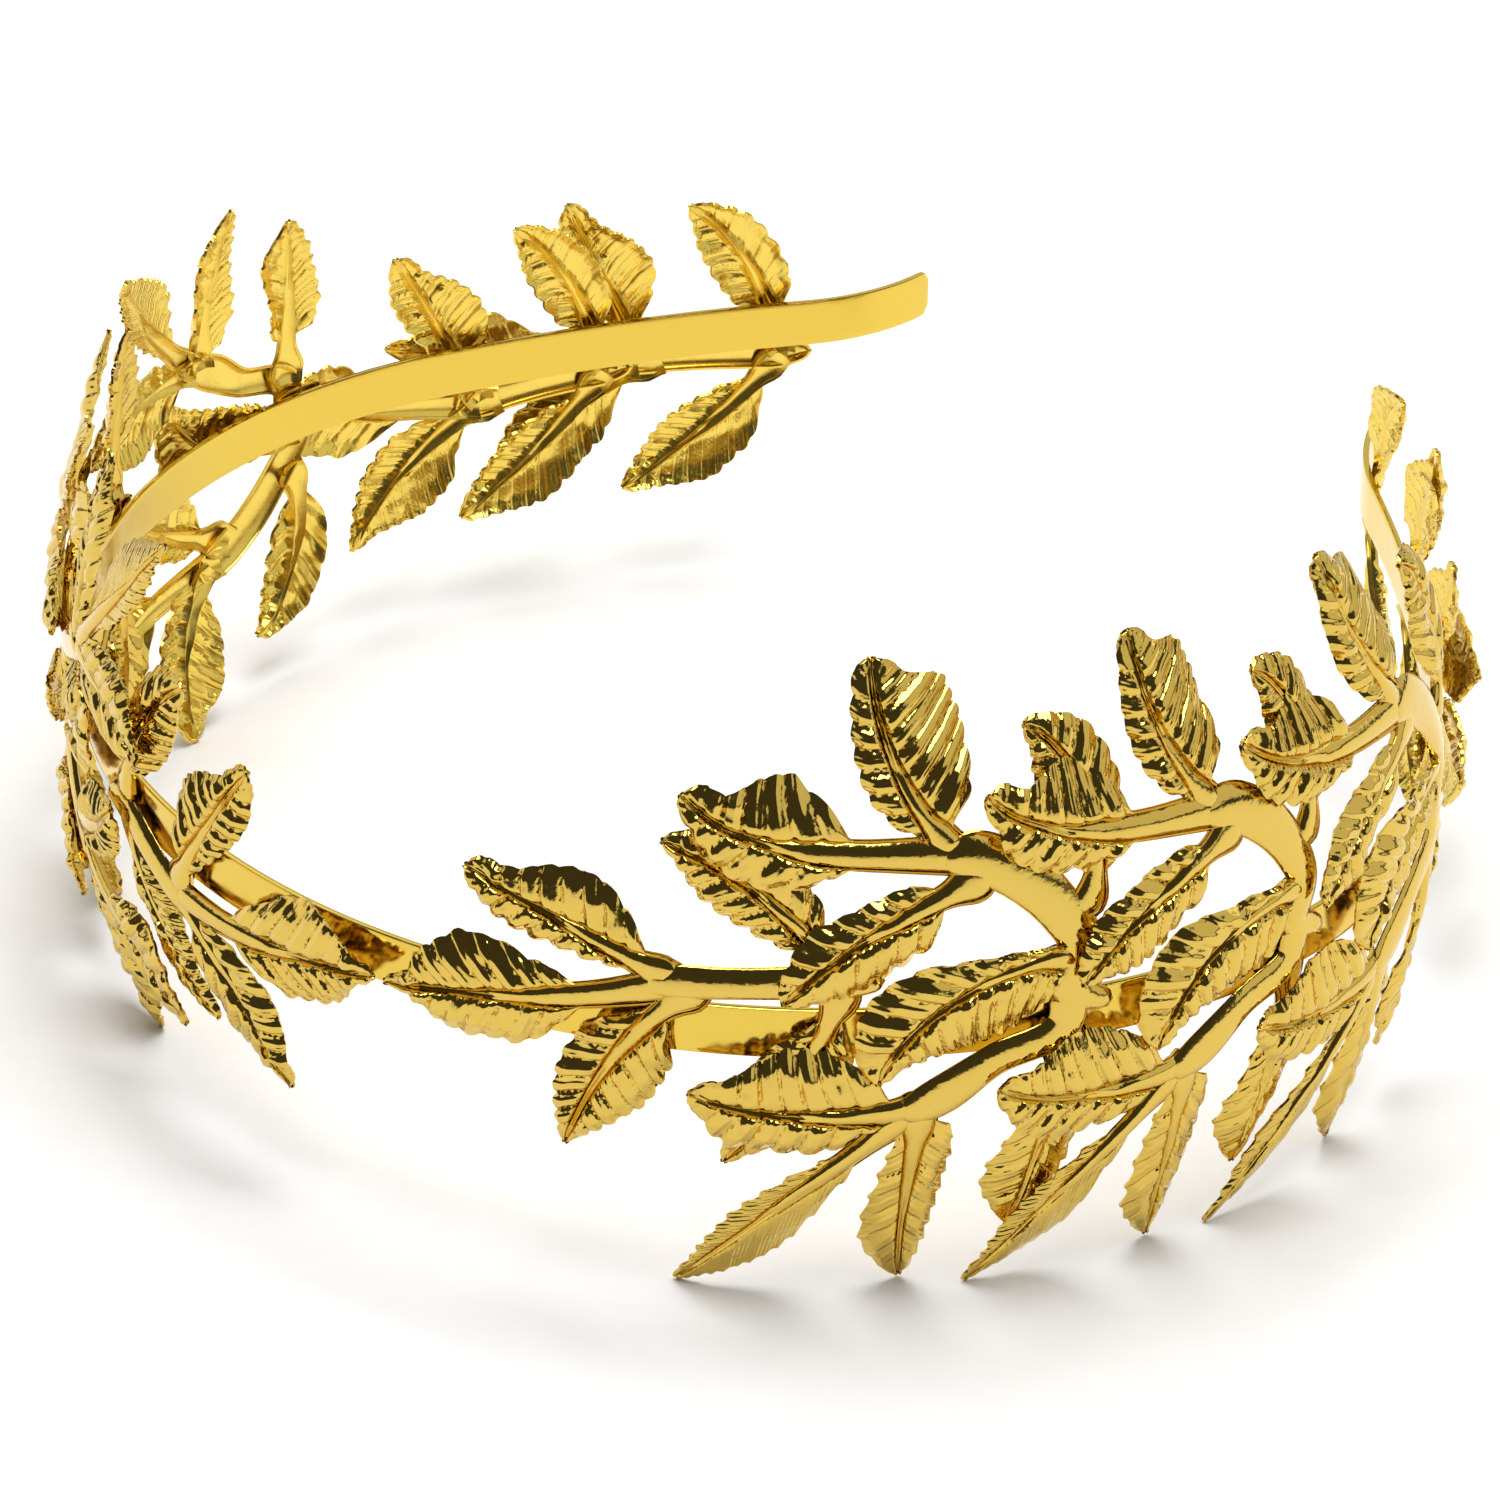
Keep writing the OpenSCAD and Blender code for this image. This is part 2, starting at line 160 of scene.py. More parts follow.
@dataclass(frozen=True)
class CrownForm:
    """The sizes and the curved ground that every piece of the crown is laid on.

    Attributes:
        band_height: Height of the strip.
        band_thickness: Thickness of the strip.
        end_corner: Radius of the corners at the strip's free ends.
        dome_radius: Upright radius that the sprigs lean in on, above and below the strip.
        seat_gap: Gap between the strip and the backs of the sprigs.
        right: Plan of the right arm.
        left: Plan of the left arm.
    """

    band_height: float = 6.0
    band_thickness: float = 0.8
    end_corner: float = 1.2
    dome_radius: float = 95.0
    seat_gap: float = 0.15
    right: StripPlan = StripPlan((Arc(84, 54), Arc(64, 64), Arc(240, 13), Arc(35, 28, -1)))
    left: StripPlan = StripPlan((Arc(83, 62), Arc(69, 60), Arc(200, 14), Arc(27, 38, -1)))

    def plan(self, arm: Arm) -> StripPlan:
        """The plan of an arm."""
        return self.right if arm is RIGHT else self.left

    def shift(self) -> Array:
        """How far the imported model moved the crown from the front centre, from the strip's box."""
        low, high = (np.array(corner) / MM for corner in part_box("band"))
        samples = 4000
        widest = max(self.right.at(np.linspace(0, self.right.length, samples))[0])
        return np.array([high[0] - widest, low[1], (low[2] + high[2]) / 2])

    @staticmethod
    def middle() -> Array:
        """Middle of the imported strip's box, in metres."""
        low, high = (np.array(corner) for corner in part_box("band"))
        return (low + high) / 2

    def place(self, arm: Arm, run: Array, z: Array, lift: Array) -> Array:
        """Lays points, in metres, on the ground that the sprigs share.

        They are given by runs along an arm, heights over the strip's middle, and distances out
        from the sprigs' backs.
        """
        x, y, heading = self.plan(arm).at(run)
        beyond = np.maximum(0, np.abs(z) - self.band_height / 2)
        out = self.seat_gap + lift - beyond**2 / (2 * self.dome_radius)
        x, y = arm.value * (x + out * np.sin(heading)), y - out * np.cos(heading)
        return (np.stack([x, y, z], -1) + self.shift()) * MM


class Mesher:
    """Adds flat blanks with Blender's own operators, shapes them and joins them."""

    @staticmethod
    def only(*objects: Thing) -> None:
        """Selects these objects alone, and makes the first one active."""
        bpy.ops.object.select_all(action="DESELECT")
        for thing in objects:
            thing.select_set(True)
        bpy.context.view_layer.objects.active = objects[0]

    @staticmethod
    def blank(name: str, across: int, along: int) -> Thing:
        """Adds a flat grid of that many cells, one metre each way about the origin."""
        bpy.ops.object.select_all(action="DESELECT")
        bpy.ops.mesh.primitive_grid_add(x_subdivisions=across, y_subdivisions=along, size=1.0)
        grid = bpy.context.active_object
        grid.name = name
        return grid

    @staticmethod
    def press(blank: Thing, shape: Shape, outward: Callable[[Array], Array], name: str) -> Thing:
        """Copies a blank, presses the copy into its shape and turns its faces outwards.

        The shape gives points in metres and their named values, from the blank's shares across
        (-1 to 1) and along (0 to 1). Outward gives the outward directions at points.
        """
        sheet = blank.copy()
        sheet.data = blank.data.copy()
        sheet.name = name
        bpy.context.collection.objects.link(sheet)
        mesh = sheet.data
        flat = np.empty(len(mesh.vertices) * 3)
        mesh.vertices.foreach_get("co", flat)
        flat = flat.reshape(-1, 3)
        points, values = shape(flat[:, 0] * 2, flat[:, 1] + 0.5)
        mesh.vertices.foreach_set("co", points.ravel())
        for key, value in values.items():
            mesh.attributes.new(key, "FLOAT", "POINT").data.foreach_set("value", value)
        mesh.update()
        middle = mesh.polygons[len(mesh.polygons) // 2]
        if np.dot(middle.normal, outward(np.array([middle.center]))[0]) < 0:
            mesh.flip_normals()
        return sheet

    @classmethod
    def join(cls, name: str, parts: list[Thing]) -> Thing:
        """Joins pressed sheets to one object of that name."""
        cls.only(*parts)
        bpy.ops.object.join()
        whole = bpy.context.active_object
        whole.name = whole.data.name = name
        return whole

    @classmethod
    def modify(cls, piece: Thing, kind: str, **settings: object) -> None:
        """Adds a modifier of that kind with these settings, and applies it."""
        cls.only(piece)
        modifier = piece.modifiers.new(kind, kind)
        for key, value in settings.items():
            setattr(modifier, key, value)
        bpy.ops.object.modifier_apply(modifier=modifier.name)

    @classmethod
    def smooth(cls, piece: Thing, angle: float = 40) -> None:
        """Shades a piece smooth, apart from edges sharper than an angle in degrees."""
        cls.only(piece)
        bpy.ops.object.shade_smooth_by_angle(angle=math.radians(angle))


# What all the leaf dies share: lengths in millimetres, places as shares of the blade.
# The blank's cells across, those of the midrib, and how cells and rows crowd to the edges.
CELLS = 36
RIB_CELLS = 8
CROWDING = 0.055
STALK_ROWS = 0.55
MOST_STALK_ROWS = 0.3
TIP_ROWS = 1.25
# The stalk's width, its loss up to the blade, and its widening at the stem.
STALK_SHARE = 1.02
STALK_LOSS = 0.28
FILLET_AT = 2.6
FILLET_LENGTH = 1.9
# The midrib's half width, its loss to the tip, its start and its point.
RIB_HALF = 0.55
RIB_LOSS = 0.28
LEAST_RIB = 0.24
RIB_START = (0, 0.6)
RIB_POINT = (0.9, 1)
POINT_LOSS = 0.6
# Heights of the stalk and the midrib, where it sinks in, and the channel along it.
STALK_RISE = 0.82
RIB_RISE = 0.42
RIB_FADE = (0.84, 0.95)
CHANNEL_DEPTH = 0.6
CHANNEL_WIDTH = 0.36
CHANNEL_START = (0.3, 0.5)
# The side veins: chance in number and angle, lag of the right half, unevenness.
LEAST_VEINS = 4.0
VEIN_CHANCE = (0.92, 1.08)
LEAN_CHANCE = (-5, 5)
LAG = (0.3, 0.6)
SWING = 0.16
SWING_PACE = 5.3
ANY_PHASE = (0, 6)
# The outline: roundness of the tip, and form of the teeth.
TIP_POWER = 2.2
SAW_POWER = 1.3
SAW_PEAK = 0.84
SAW_HEIGHT = 1.2
TOOTH_START = (0.0, 0.16)
TOOTH_LOSS = 0.8
TOOTH_MEAN = 0.62
LEAST_HALF = 0.02
LEAST_FLANGE = 0.12
RIB_ROOM = 2.2
# The flutes and the fine ribs: powers of their waves, chance, start and end.
FLUTE_POWER = 0.7
FLUTE_MEAN = 0.35
FLUTE_CHANCE = 0.22
FLUTE_PACE = 2.4
FLUTE_START = (0.0, 0.1)
BEFORE_CAP = 0.1
PAST_CAP = 0.04
FINE_POWER = 0.8
FINE_SHIFT = 0.4
# The puffed halves: rise at the midrib, fall to the edge, and least shares.
HEAD = 0.2
PUFF_FALL = (0.6, 1.05)
LEAST_PUFF = 0.8
LEAST_SWELL = 0.55
# The crimps that fan round the tip.
CRIMPS = 13
FAN_BACK = 0.03
LEAST_RUN = 0.001
FAN_START = (0.5, 1.6)
CRIMP_START = (-0.04, 0.02)
# Waves of the edges, dents (depth, pace across and along), rolling back and twist.
WAVE = 0.3
WAVE_PACE = 7
DENTS = ((0.16, 0.9, 9), (0.09, 2.1, 19))
ROUND_CHANCE = (0.7, 1.2)
ROUND_START = (0.05, 0.3)
TWIST = (-0.05, 0.05)
TWIST_START = (0, 0.3)
# Height of the flat sheet, and the dip of the stalk's root.
FACE = 0.42
ROOT_SINK = 0.6
ROOT_LENGTH = 1.5
# Where the finish has fine ribs, and the relief that is clear of the grooves.
BLADE_START = (0, 0.1)
BLADE_FADE = 0.05
CLEAR_SWELL = 0.7
CLEAR_FLUTE = 0.6


@dataclass(frozen=True)
class Die:
    """The form that one leaf die presses.

    Attributes:
        plus: Reach of the left half, in percents of the width, by the percent of the blade.
        minus: The same for the right half.
        cap: Share of the blade where the rounding of the tip starts.
        angle: Angle between the midrib and the side veins, in degrees.
        step: Distance between side veins along the midrib.
        swell: Height of the puffed halves.
        flute: Depth of the valleys between the flutes.
        rib: Height of the fine ribs on the flutes.
        tooth: Depth of the scallops along the edge.
        saw: Whether the scallops are cut like saw teeth.
        crimp: Depth of the crimping round the tip.
        round: How far the edges of a half as wide as the leaf roll back.
        flare: How much wider the stalk is where it comes out of the stem.
    """

    plus: tuple[tuple[int, int], ...]
    minus: tuple[tuple[int, int], ...]
    cap: float = 0.9
    angle: float = 66.0
    step: float = 2.5
    swell: float = 0.62
    flute: float = 0.48
    rib: float = 0.1
    tooth: float = 0.55
    saw: bool = False
    crimp: float = 0.1
    round: float = 1.6
    flare: float = 0.6

    def reach(self, width: float, b: Array, left: Array) -> Array:
        """How far the smooth outline of a leaf of that width reaches from its midrib."""
        cap = np.clip((b - self.cap) / (1 - self.cap), 0, 1)
        sides = (tuple((p / 100, r / 100) for p, r in side) for side in (self.plus, self.minus))
        half = width * np.where(left, *(table_at(side, b) for side in sides))
        return half * np.sqrt(np.clip(1 - cap**TIP_POWER, 0, 1))

    def bite(self, b: Array, vein: Array) -> Array:
        """How far scallops or teeth move the outline, by the count of side veins there."""
        share = vein - np.floor(vein)
        if self.saw:
            bump = share**SAW_POWER * (1 - ease(SAW_PEAK, 1, share)) * SAW_HEIGHT
        else:
            bump = np.abs(np.sin(math.pi * vein)) ** FLUTE_POWER
        fade = 1 - TOOTH_LOSS * ease(self.cap - BEFORE_CAP, 1, b)
        return self.tooth * ease(*TOOTH_START, b) * fade * (bump - TOOTH_MEAN)

    def face(self, b: Array, w: Array, vein: Array, height: Array) -> Array:
        """Relief of the puffed halves with their flutes and fine ribs, by the count of veins."""
        crest = np.abs(np.sin(math.pi * vein)) ** FLUTE_POWER
        fine = np.abs(np.sin(2 * math.pi * vein + FINE_SHIFT)) ** FINE_POWER
        grown = ease(*FLUTE_START, b) * (1 - ease(self.cap - BEFORE_CAP, self.cap + PAST_CAP, b))
        head = np.sqrt(np.clip(1 - (1 - np.minimum(w / HEAD, 1)) ** 2, 0, 1))
        least, low = LEAST_PUFF, LEAST_SWELL
        puff = head * (1 - ease(*PUFF_FALL, w)) * (least + (1 - least) * crest)
        swollen = self.swell * puff * (low + (1 - low) * grown) * height
        fluted = self.flute * height * (crest - FLUTE_MEAN) + self.rib * fine
        return swollen + fluted * grown * head

    def crimps(self, b: Array, x: Array, blade: float) -> Array:
        """Relief of the crimps that fan round the tip of a blade of that length."""
        run = (b - self.cap + FAN_BACK) * blade
        fan = np.cos(CRIMPS * np.arctan2(x, np.maximum(run, LEAST_RUN)))
        fan = fan * ease(*FAN_START, np.hypot(x, run))
        return self.crimp * fan * ease(*(self.cap + edge for edge in CRIMP_START), b)


DIES = {
    Press.CREST: Die(
        ((0, 6), (6, 34), (15, 48), (27, 57), (40, 63), (60, 64), (74, 60), (82, 48), (88, 29),
         (93, 24), (100, 22)),
        ((0, 5), (15, 20), (27, 27), (40, 30), (55, 28), (75, 22), (90, 17), (100, 16)),
        angle=70, round=1.8,
    ),
    Press.FAN: Die(
        ((0, 8), (4, 18), (10, 31), (20, 42), (30, 48), (40, 55), (50, 53), (66, 42), (74, 31),
         (83, 22), (92, 20), (100, 18)),
        ((0, 14), (10, 23), (20, 30), (30, 36), (45, 39), (60, 37), (75, 28), (85, 17), (92, 14),
         (100, 12)),
        round=1.3, flare=0,
    ),
    Press.MIDDLE: Die(
        ((0, 16), (8, 30), (20, 34), (45, 37), (70, 39), (85, 28), (92, 21), (100, 17)),
        ((0, 16), (8, 36), (22, 52), (40, 58), (60, 54), (78, 42), (90, 26), (100, 18)),
        angle=58, flute=0.46, rib=0.12, round=0.8,
    ),
    Press.SIDE: Die(
        ((0, 10), (15, 36), (35, 46), (55, 47), (75, 40), (88, 24), (100, 10)),
        ((0, 10), (15, 36), (35, 47), (55, 47), (75, 38), (88, 22), (100, 10)),
        cap=0.94, angle=60, crimp=0.04, round=1.1,
    ),
    Press.WIDE: Die(
        ((0, 8), (10, 11), (24, 18), (40, 28), (50, 42), (58, 50), (68, 53), (80, 48), (90, 33),
         (96, 26), (100, 20)),
        ((0, 10), (10, 40), (24, 58), (40, 63), (55, 57), (68, 43), (80, 30), (92, 17),
         (100, 15)),
        angle=62, step=2.3, flute=0.46, rib=0.12, round=0.6,
    ),
    Press.LOW: Die(
        ((0, 16), (5, 36), (20, 52), (36, 61), (50, 62), (64, 56), (76, 41), (90, 21), (100, 18)),
        ((0, 6), (10, 18), (25, 33), (45, 38), (65, 40), (80, 35), (90, 20), (100, 16)),
        swell=0.55, round=0.6, flare=0.15,
    ),
    Press.SAW: Die(
        ((0, 12), (10, 20), (30, 30), (50, 33), (70, 27), (85, 16), (100, 5)),
        ((0, 12), (8, 24), (20, 34), (35, 48), (50, 58), (65, 54), (80, 36), (92, 16), (100, 6)),
        cap=0.96, angle=34, step=2.8, swell=0.22, flute=0.12, rib=0.03, tooth=0.55, saw=True,
        crimp=0.0, round=0.5, flare=0.15,
    ),
    Press.HANG: Die(
        ((0, 24), (15, 30), (40, 40), (65, 52), (80, 49), (90, 30), (100, 12)),
        ((0, 40), (15, 50), (35, 48), (60, 38), (80, 28), (90, 20), (100, 10)),
        cap=0.93, angle=50, step=2.8, swell=0.4, flute=0.3, rib=0.05, tooth=0.5, saw=True,
        crimp=0.03, round=0.8,
    ),
    Press.END: Die(
        ((0, 12), (8, 28), (22, 38), (38, 53), (50, 58), (60, 60), (66, 54), (74, 47), (82, 33),
         (87, 18), (93, 12), (100, 9)),
        ((0, 14), (10, 28), (22, 42), (32, 50), (50, 47), (60, 46), (70, 40), (78, 30), (83, 19),
         (92, 11), (100, 8)),
        cap=0.93, angle=58, step=2.7, round=0.8, flare=0,
    ),
    Press.WING: Die(
        ((0, 12), (6, 26), (14, 42), (25, 56), (36, 66), (50, 63), (62, 52), (78, 27), (90, 20),
         (100, 18)),
        ((0, 10), (14, 20), (36, 32), (50, 38), (62, 40), (78, 35), (88, 24), (100, 16)),
        step=2.2, round=0.6,
    ),
    Press.DROP: Die(
        ((0, 10), (10, 24), (20, 34), (40, 46), (57, 45), (76, 30), (88, 18), (100, 10)),
        ((0, 20), (8, 34), (20, 52), (40, 59), (57, 57), (70, 43), (80, 31), (90, 19), (100, 9)),
        cap=0.94, angle=54, step=2.3, crimp=0.05, round=0.8,
    ),
}


@dataclass(frozen=True)
class Leaf:
    """One leaf in its sprig's plane, in millimetres.

    Attributes:
        root: Where its stalk leaves the stem.
        tip: Where it ends.
        stalk: Length of the bare stalk.
        width: Width of the blade.
        leans: Turn of the midrib at the root and at the tip from the straight run, in degrees.
        curl: How far the tip curls out.
        press: The die that it is pressed with.
        stalk_width: Width of the stalk.
        seed: Number that its small irregularities come from.
        emboss: Depth of the relief as a share of the die's.
    """

    root: Pair
    tip: Pair
    stalk: float
    width: float
    leans: Pair
    curl: float
    press: Press
    stalk_width: float
    seed: int
    emboss: float = 1.0

    def midrib(self, t: Array) -> tuple[Array, Array]:
        """Gives the points and the leftward unit vectors of the curve from root to tip."""
        root, tip = complex(*self.root), complex(*self.tip)
        leans = (math.radians(angle) for angle in self.leans)
        out, home = ((tip - root) * complex(math.cos(a), math.sin(a)) for a in leans)
        start, leave, end, arrive = hermite(t)
        point = root * start + out * leave + tip * end + home * arrive
        ahead = (
            (tip - root) * 6 * (t - t**2)
            + out * (3 * t**2 - 4 * t + 1)
            + home * (3 * t**2 - 2 * t)
        )
        left = 1j * ahead / np.abs(ahead)
        return np.stack([point.real, point.imag], -1), np.stack([left.real, left.imag], -1)

    def rows(self, along: Array) -> tuple[Array, Array]:
        """Gives the shares of the blade and of the whole leaf that the blank's rows stand for."""
        length = math.dist(self.root, self.tip)
        stalk_rows = min(MOST_STALK_ROWS, STALK_ROWS * self.stalk / length)
        on_blade = np.clip((along - stalk_rows) / (1 - stalk_rows), 0, 1)
        b = 1 - (1 - on_blade) ** TIP_ROWS
        on_stalk = along / stalk_rows * self.stalk
        on_rest = self.stalk + b * (length - self.stalk)
        return b, np.where(along < stalk_rows, on_stalk, on_rest) / length

    def rib(self, flare: float, b: Array, t: Array) -> tuple[Array, Array]:
        """Gives half the width and the height of the stalk and of the midrib after it."""
        length = math.dist(self.root, self.tip)
        taper = ease(*RIB_START, b)
        from_fillet = (t * length - FILLET_AT) / FILLET_LENGTH
        fillet = 1 + flare * np.exp(-(from_fillet**2))
        stalk = STALK_SHARE - STALK_LOSS * ease(0, self.stalk / length, t)
        half = self.stalk_width / 2 * stalk * fillet * (1 - taper)
        half = half + (RIB_HALF - RIB_LOSS * b) * taper
        half = np.maximum(LEAST_RIB, half) * (1 - POINT_LOSS * ease(*RIB_POINT, b))
        height = STALK_RISE * (1 - taper) + RIB_RISE * taper
        return half, height * (1 - ease(*RIB_FADE, b))

    def bends(self, b: Array, w: Array, x: Array, roll: float, phases: Array) -> Array:
        """Gives the lift of the edges' waves, the dents and the edges' rolling back."""
        out = np.abs(x) / (0.5 * self.width)
        side = np.where(x > 0, phases[0], phases[1])
        waves = WAVE * w**2 * np.sin(WAVE_PACE * b + side)
        dents = sum(
            depth * np.sin(across * x + phases[2 * i]) * np.sin(along * b + phases[2 * i + 1])
            for i, (depth, across, along) in enumerate(DENTS, 1)
        )
        rolled = DIES[self.press].round * roll * out**2
        return (waves + dents - rolled) * ease(*ROUND_START, b)

    def pressed(self, across: Array, along: Array) -> tuple[Array, ...]:
        """Presses the leaf, from the blank's shares across (-1 to 1) and along (0 to 1).

        Returns:
            u, v and lift of each point, its vein count, share of blade and depth in the grooves.
        """
        die = DIES[self.press]
        rng = np.random.default_rng(self.seed)
        length = math.dist(self.root, self.tip)
        blade = length - self.stalk
        b, t = self.rows(along)
        left = across > 0
        rib, rib_height = self.rib(die.flare, b, t)

        veins = max(LEAST_VEINS, round(blade / die.step * rng.uniform(*VEIN_CHANCE)))
        lean = 1 / math.tan(math.radians(die.angle + rng.uniform(*LEAN_CHANCE)))
        lag = np.where(left, 0.0, rng.uniform(*LAG))
        swing = SWING * np.sin(SWING_PACE * b + rng.uniform(*ANY_PHASE))

        def vein_at(out: Array) -> Array:
            """Counts side veins up to the points that far out from the midrib."""
            return veins * (b - lean * out / blade) + lag + swing

        half = die.reach(self.width, b, left)
        half = np.maximum(half + die.bite(b, vein_at(half)), 0)
        half = np.where(b > 0, np.maximum(half, LEAST_HALF), 0)
        squeezed = (b > 0.5) & (half < RIB_ROOM * rib)
        rib = np.where(squeezed, half / RIB_ROOM, rib)

        core = RIB_CELLS / CELLS
        inside = np.abs(across) <= core + 1e-6
        w = np.clip((np.abs(across) - core) / (1 - core), 0, 1)
        w = w - CROWDING * np.sin(2 * math.pi * w)
        flange = np.maximum(half, rib + LEAST_FLANGE)
        out = np.where(inside, rib * np.abs(across) / core, rib + w * (flange - rib))
        x = np.sign(across) * out

        vein = vein_at(np.abs(x))
        flute = np.sin(FLUTE_PACE * np.floor(vein) + rng.uniform(*ANY_PHASE))
        face = die.face(b, w, vein, 1 + FLUTE_CHANCE * flute)
        face = (face + die.crimps(b, x, blade)) * self.emboss
        bulge = np.sqrt(np.clip(1 - np.minimum(np.abs(x) / rib, 1) ** 2, 0, 1))
        channel = CHANNEL_DEPTH * np.exp(-((x / (CHANNEL_WIDTH * rib)) ** 2))
        midrib = rib_height * (bulge - channel * ease(*CHANNEL_START, b))
        relief = np.where(inside, midrib + face * (np.abs(x) / rib) ** 2, face)

        phases = rng.uniform(0, 2 * math.pi, 2 + 2 * len(DENTS))
        bends = self.bends(b, w, x, rng.uniform(*ROUND_CHANCE), phases)
        twist = rng.uniform(*TWIST) * x * ease(*TWIST_START, b)
        lift = FACE + relief + bends + twist + self.curl * b**2
        dip = ROOT_SINK * (1 - ease(0, ROOT_LENGTH, t * length))
        lift = np.where(b > 0, lift, lift - dip)

        line, square = self.midrib(t)
        u, v = (line + square * x[:, None]).T
        shown = ease(*BLADE_START, b) * np.where(inside, 0, 1)
        shown = shown * (1 - ease(die.cap - BLADE_FADE, die.cap, b))
        clear = CLEAR_SWELL * die.swell + CLEAR_FLUTE * die.flute
        # The depth in the grooves returned last sets how much painted shade the finish puts on each
        # point.
        return u, v, lift, vein, shown, 1 - np.clip(relief / clear, 0, 1)


@dataclass(frozen=True)
class Stem:
    """One stretch of half-round stem.

    Attributes:
        knots: u, v and width along it.
        rise: Height of its crest.
        keel: Place of the crest across it, from -1 on the right of the run to 1 on the left.
        edge: Height of its edges.
        end: Length of its rounded ends.
        fullness: Power of its section, lower for fuller sides.
    """

    knots: tuple[Triple, ...]
    rise: float
    keel: float
    edge: float = 0.34
    end: float = 1.4
    fullness: float = 0.6

    def pressed(self, across: Array, along: Array) -> tuple[Array, ...]:
        """Presses the stem, with the arguments and the results of Leaf.pressed."""
        knots = np.array(self.knots)
        steps = np.hypot(*np.diff(knots[:, :2], axis=0).T)
        runs = np.concatenate([[0], np.cumsum(steps)])
        s = along * runs[-1]
        tables = [tuple(zip(runs, column)) for column in knots.T]
        u, v, width = (table_at(table, s) for table in tables)
        nudge = 0.02
        ahead, behind = np.minimum(s + nudge, runs[-1]), np.maximum(s - nudge, 0)
        du, dv = (table_at(table, ahead) - table_at(table, behind) for table in tables[:2])
        size = np.hypot(du, dv)
        q = np.sin(across * math.pi / 2)
        from_end = np.minimum(s, runs[-1] - s)
        least = 0.0004
        rounding = 1 - (1 - np.minimum(from_end / self.end, 1)) ** 2
        rounding = np.sqrt(np.clip(rounding, least, 1))
        x = q * width / 2 * rounding
        off = (q - self.keel) / np.where(q > self.keel, 1 - self.keel, 1 + self.keel)
        crest = (1 - np.abs(off) ** 2) ** self.fullness
        lift = self.edge + (self.rise - self.edge) * crest * rounding
        zero = np.zeros_like(u)
        # The last value, 1 - crest, paints shade on the stem's sides away from its crest.
        return u - dv / size * x, v + du / size * x, lift, zero, zero, 1 - crest


@dataclass(frozen=True)
class Sprig:
    """One pressed sprig.

    Attributes:
        name: Name of the node that it stands for.
        arm: The arm that it is on.
        large: Whether it is the large stamping.
        place: Place of its first fork as a share of the arm's length.
        height: Height of that fork as a share of the strip's height.
        tilt: Turn of the small stamping in degrees.
        reach: Share of its drawn length.
        fork: Second fork of the small stamping, as shares of the step between forks.
        lean: Turn of the upper leaf at the second fork.
        rise: Share of its drawn height, negative where it is turned upside down.
        sway: How far its top leans back along the strip, as a share of its height.
        emboss: Depth of its relief as a share of the die's.
        far: Whether it has the hazier plate, whose brighter colour is painted light.
    """

    name: str
    arm: Arm
    large: bool
    place: float
    height: float = 0.0
    tilt: float = 0.0
    reach: float = 1.0
    fork: Pair = (0.0, 0.0)
    lean: float = 0.0
    rise: float = 1.0
    sway: float = 0.0
    emboss: float = 1.0
    far: bool = False


@dataclass(frozen=True)
class SprigSizes:
    """Named sizes of the two stampings, in millimetres, and the cells of their blanks."""

    large_rows: int = 68
    small_rows: int = 60
    stem_cells: tuple[int, int] = (14, 44)
    lap_gap: float = 0.6
    sheet: float = 0.45
    rib_rise: float = 0.6
    tip_curl: float = 0.5
    stem_rise: float = 1.1
    stem_crest: float = 0.3
    stalk_width: float = 2.6
    large_length: float = 45.0
    large_height: float = 75.0
    large_leaf_width: float = 13.0
    large_stem_width: float = 4.6
    small_fork_step: float = 17.5
    small_leaf_length: float = 32.5
    small_leaf_width: float = 11.5
    small_stem_width: float = 4.1
    small_tail: float = 4.0
    wall: float = 0.34


# Root, tip and stalk as shares of the stamping; width; leans; curl; thickness; die.
LARGE_LEAVES = (
    (0.07, 0.165, 0.205, 0.459, 0.1, 0.72, 45, -50, 0.4, 1, Press.SIDE),
    (0.37, 0.29, 0.58, 0.557, 0.06, 1, -20, 23, -2.4, 1, Press.CREST),
    (0.33, 0.285, 1.015, 0.382, 0.28, 0.98, -4, 32, 0.4, 1.5, Press.FAN),
    (0.29, 0.262, 0.765, 0.077, 0.14, 0.72, 8, -19, 1, 1.2, Press.MIDDLE),
    (0.06, 0.1, 0.547, -0.06, 0.03, 0.87, 49, -45, 1, 1, Press.WIDE),
    (0.46, -0.113, 0.972, -0.077, 0.06, 0.96, -12, 20, 0.8, 1.3, Press.LOW),
    (0.47, -0.12, 1.01, -0.443, 0.18, 0.64, 4, -4, 0.4, 1.1, Press.SAW),
    (0.44, -0.107, 0.465, -0.438, 0.05, 0.65, 4, -8, 0, 1.1, Press.HANG),
    (0.1, 0, 0.2, -0.355, 0.17, 0.72, -6, 6, 0, 1.2, Press.HANG),
)
# u, v and width along each stem, as shares, and the places of the crests across them.
LARGE_STEMS = (
    ((-0.02, 0.02, 0.43), (0.09, 0.053, 1), (0.06, 0.107, 1.05), (0.12, 0.18, 1.12),
     (0.23, 0.25, 1.24), (0.36, 0.288, 1.1), (0.42, 0.29, 0.7)),
    ((0.09, 0.053, 1), (0.1, 0, 0.95), (0.27, -0.043, 0.9), (0.44, -0.107, 1), (0.5, -0.117, 0.6)),
)
LARGE_KEELS = (-0.1, -0.35)
